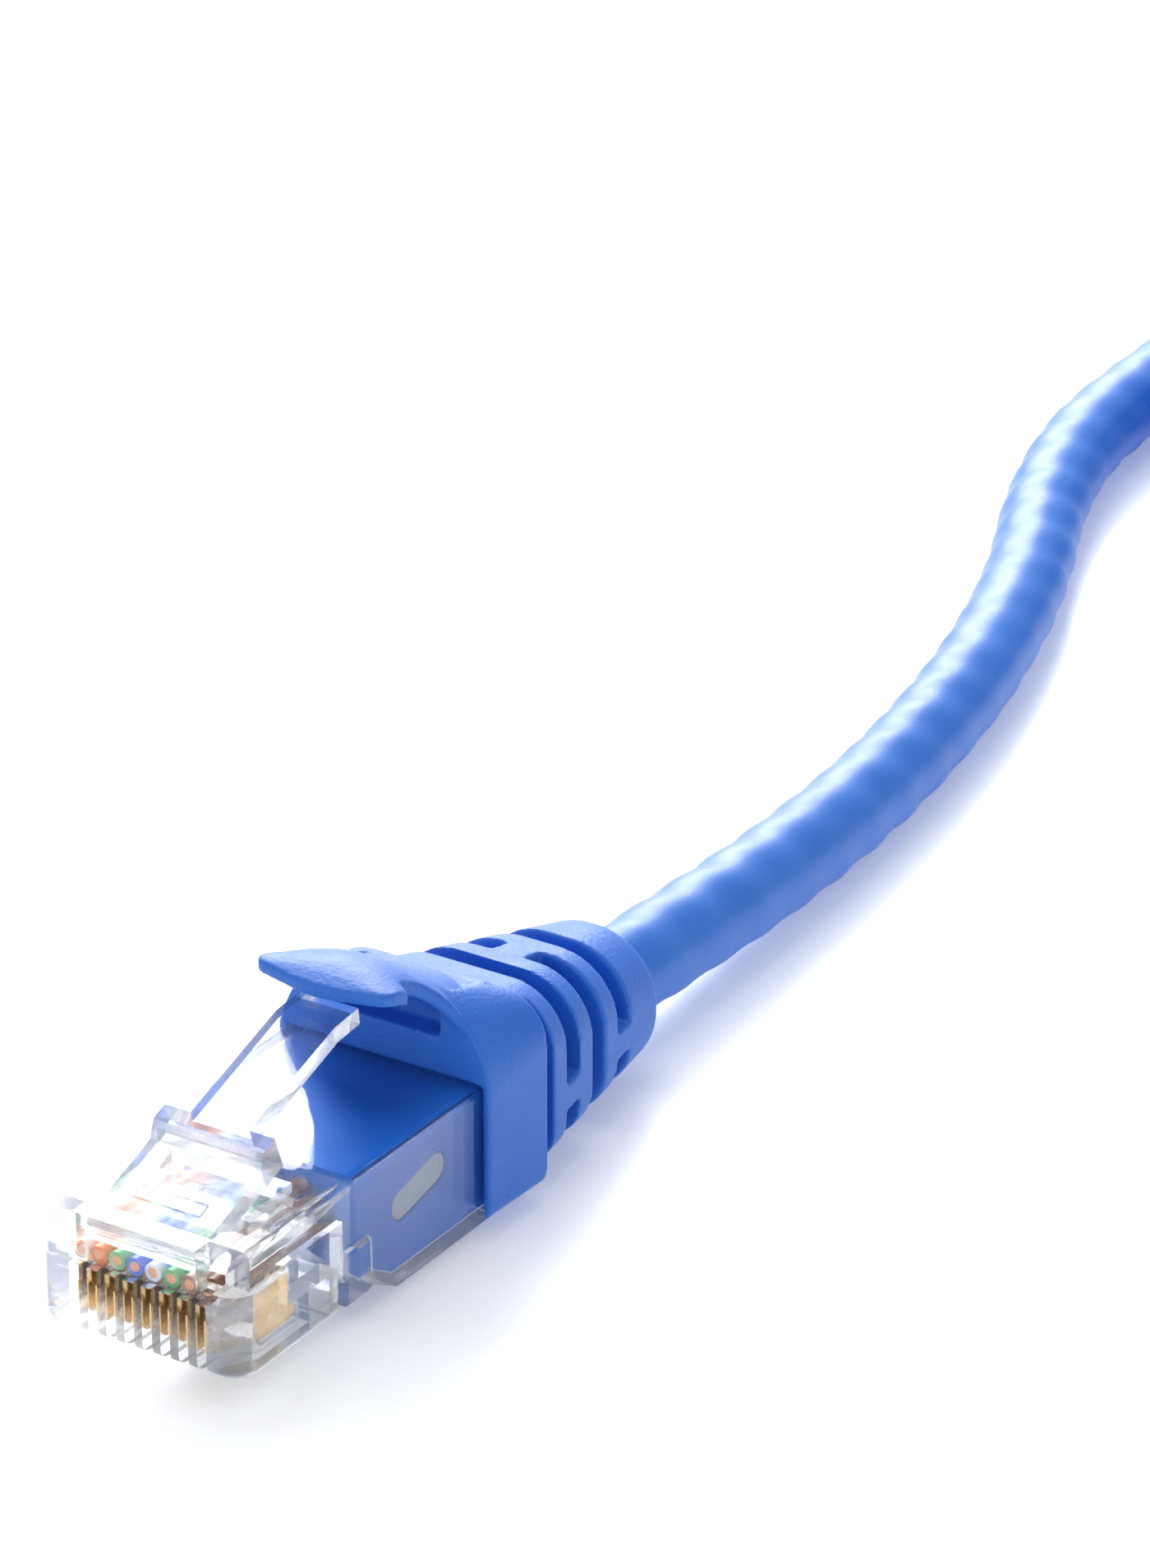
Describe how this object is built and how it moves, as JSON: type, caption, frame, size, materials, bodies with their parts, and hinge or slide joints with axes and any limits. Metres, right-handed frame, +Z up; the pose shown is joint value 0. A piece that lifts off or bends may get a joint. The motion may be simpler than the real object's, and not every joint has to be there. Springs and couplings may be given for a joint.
{
  "type": "ethernet patch cable",
  "caption": "Flexible network patch cord with a clear modular plug, snagless latch cover and ribbed strain relief at each end; the spare length lies coiled and tied.",
  "frame": {"origin": "centre of the footprint of the near plug and its boot, on the surface that the cable lies on", "axes": "+Y from the near plug's mating face towards its cord, +Z up on the latch side, +X to the right seen from behind the plug"},
  "size_m": [0.0671, 0.1771, 0.015],
  "materials": {
    "clear_plastic": "clear polycarbonate, polished with faint mould lines",
    "clear_bar": "clear polycarbonate insert, slightly milky",
    "gold_contact": "gold-plated blade",
    "copper": "bare copper conductor",
    "cord_jacket": "soft blue jacket, semi-matte",
    "blue_boot": "moulded flexible boot, fine satin grain",
    "blue_mould": "blue fill inside the clear plug",
    "tie_strap": "black hook-and-loop strap",
    "wire_white_orange": "thin wire insulation",
    "wire_orange": "thin wire insulation",
    "wire_white_green": "thin wire insulation",
    "wire_blue": "thin wire insulation",
    "wire_white_blue": "thin wire insulation",
    "wire_green": "thin wire insulation",
    "wire_white_brown": "thin wire insulation",
    "wire_brown": "thin wire insulation"
  },
  "bodies": {
    "cable": {"near_housing": "clear_plastic", "near_contact_1": "gold_contact", "near_contact_2": "gold_contact", "near_contact_3": "gold_contact", "near_contact_4": "gold_contact", "near_contact_5": "gold_contact", "near_contact_6": "gold_contact", "near_contact_7": "gold_contact", "near_contact_8": "gold_contact", "near_wire_1": "wire_white_orange", "near_wire_2": "wire_orange", "near_wire_3": "wire_white_green", "near_wire_4": "wire_blue", "near_wire_5": "wire_white_blue", "near_wire_6": "wire_green", "near_wire_7": "wire_white_brown", "near_wire_8": "wire_brown", "near_conductors": "copper", "near_load_bar": "clear_bar", "near_strain_bar": "clear_plastic", "near_jacket_end": "cord_jacket", "near_inner_mould": "blue_mould", "near_boot": "blue_boot", "far_housing": "clear_plastic", "far_contact_1": "gold_contact", "far_contact_2": "gold_contact", "far_contact_3": "gold_contact", "far_contact_4": "gold_contact", "far_contact_5": "gold_contact", "far_contact_6": "gold_contact", "far_contact_7": "gold_contact", "far_contact_8": "gold_contact", "far_wire_1": "wire_white_orange", "far_wire_2": "wire_orange", "far_wire_3": "wire_white_green", "far_wire_4": "wire_blue", "far_wire_5": "wire_white_blue", "far_wire_6": "wire_green", "far_wire_7": "wire_white_brown", "far_wire_8": "wire_brown", "far_conductors": "copper", "far_load_bar": "clear_bar", "far_strain_bar": "clear_plastic", "far_jacket_end": "cord_jacket", "far_inner_mould": "blue_mould", "far_boot": "blue_boot", "cord_lead": "cord_jacket", "cord_tail": "cord_jacket", "cord_coil": "cord_jacket", "coil_tie": "tie_strap"},
    "near_cover": {"near_latch_cover": "blue_boot"},
    "near_tab": {"near_latch": "clear_plastic"},
    "far_cover": {"far_latch_cover": "blue_boot"},
    "far_tab": {"far_latch": "clear_plastic"}
  },
  "joints": [
    {"name": "near_cover_hinge", "type": "hinge", "parent": "cable", "child": "near_cover", "pos_m": [0, 0.0031, 0.0106], "axis": [1, 0, 0], "range_deg": [0, 20], "stiffness_Nm_per_rad": 0.05},
    {"name": "near_tab_hinge", "type": "hinge", "parent": "cable", "child": "near_tab", "pos_m": [0, -0.0182, 0.0075], "axis": [1, 0, 0], "range_deg": [-13.1, 0], "stiffness_Nm_per_rad": 0.02},
    {"name": "far_cover_hinge", "type": "hinge", "parent": "cable", "child": "far_cover", "pos_m": [0.042, 0.0536, 0.0106], "axis": [1, 0, 0], "range_deg": [0, 20], "stiffness_Nm_per_rad": 0.05},
    {"name": "far_tab_hinge", "type": "hinge", "parent": "cable", "child": "far_tab", "pos_m": [0.042, 0.0323, 0.0075], "axis": [1, 0, 0], "range_deg": [-13.1, 0], "stiffness_Nm_per_rad": 0.02}
  ],
  "couplings": [
    {"joint": "near_tab_hinge", "follows": "near_cover_hinge", "ratio": -0.65},
    {"joint": "far_tab_hinge", "follows": "far_cover_hinge", "ratio": -0.65}
  ]
}
